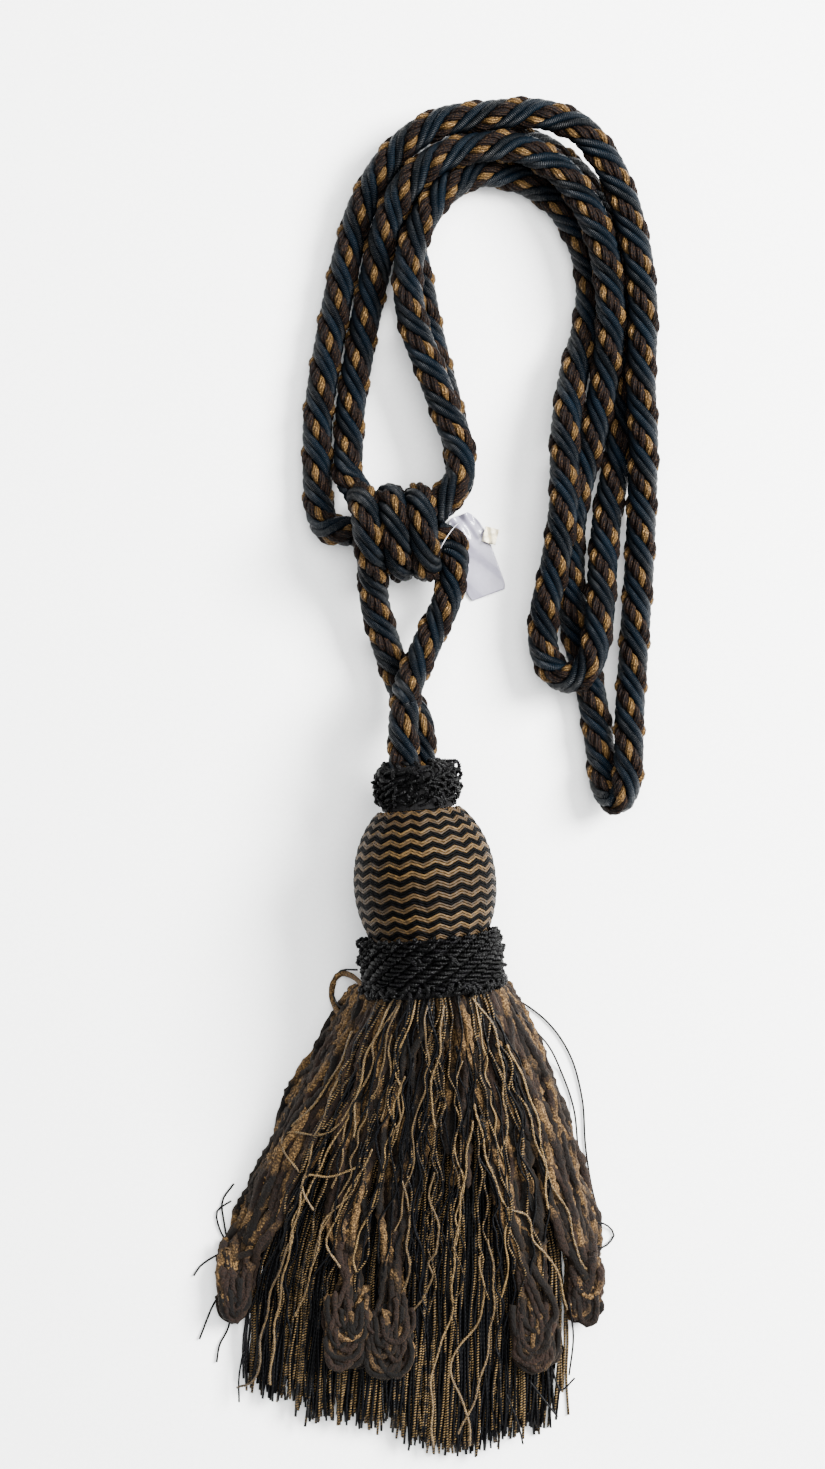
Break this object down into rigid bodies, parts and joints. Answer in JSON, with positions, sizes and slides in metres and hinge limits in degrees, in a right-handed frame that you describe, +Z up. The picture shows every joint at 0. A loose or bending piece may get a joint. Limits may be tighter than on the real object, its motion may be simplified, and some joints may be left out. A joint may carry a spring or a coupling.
{
  "type": "curtain tassel tieback",
  "caption": "Curtain tieback: two loops of twisted rope tied in a wrapped knot, with an egg-shaped woven head and a long mixed fringe.",
  "frame": {"origin": "on the table under the fringe, on the tassel's long axis, on the fringe's flat underside", "axes": "+Y from the fringe's hem to the rope loops, +X to the right seen from above, +Z up from the table"},
  "size_m": [0.1497, 0.4611, 0.0501],
  "materials": {
    "rope": "satin black strands laid with speckled brown and gold strands",
    "turned_wood": "plain turned wood, hidden under the woven cover",
    "zigzag_weave": "zigzag bands of tan-gold and black thread",
    "ruff": "looped dark two-ply cord",
    "cut_cord": "thin satin cords, black and gold",
    "chenille": "matt chenille, dark brown dyed with tan lengths",
    "tag_film": "thin translucent film, creased",
    "tag_paper": "crumpled cream paper",
    "nylon": "clear fine line"
  },
  "bodies": {
    "rope": {"long_loop": "rope", "short_loop": "rope", "left_leg": "rope", "right_leg": "rope", "knot_wraps": "rope", "tucked_strands": "rope"},
    "leg_ends": {"left_leg_end": "rope", "right_leg_end": "rope"},
    "tassel": {"left_tail": "rope", "right_tail": "rope", "stopper_knot": "rope", "head_mould": "turned_wood", "head_cover": "zigzag_weave", "upper_ruff_band": "ruff", "upper_ruff_loops": "ruff", "lower_ruff_band": "ruff", "lower_ruff_loops": "ruff", "fringe_heading": "cut_cord", "cut_fringe": "cut_cord", "chenille_fringe": "chenille", "chenille_end_1": "chenille", "chenille_end_2": "chenille", "chenille_end_3": "chenille", "chenille_end_4": "chenille", "chenille_end_5": "chenille"},
    "tag": {"tag_sheet": "tag_film", "tag_eyelet": "tag_paper", "tag_thread": "nylon"}
  },
  "joints": [
    {"name": "tassel_swing", "type": "hinge", "parent": "rope", "child": "leg_ends", "pos_m": [-0.0067, 0.1782, 0.016], "axis": [0, 0, 1], "range_deg": [-35, 30], "deforming": ["left_leg_end", "right_leg_end", "left_leg", "right_leg"]},
    {"name": "tassel_lift", "type": "hinge", "parent": "leg_ends", "child": "tassel", "pos_m": [-0.0044, 0.16, 0.0252], "axis": [-1, 0, 0], "range_deg": [0, 65], "deforming": ["left_tail", "right_tail"]},
    {"name": "tag_swing", "type": "hinge", "parent": "rope", "child": "tag", "pos_m": [0.0172, 0.2224, 0.01], "axis": [0, 0, 1], "range_deg": [-20, 50]}
  ]
}
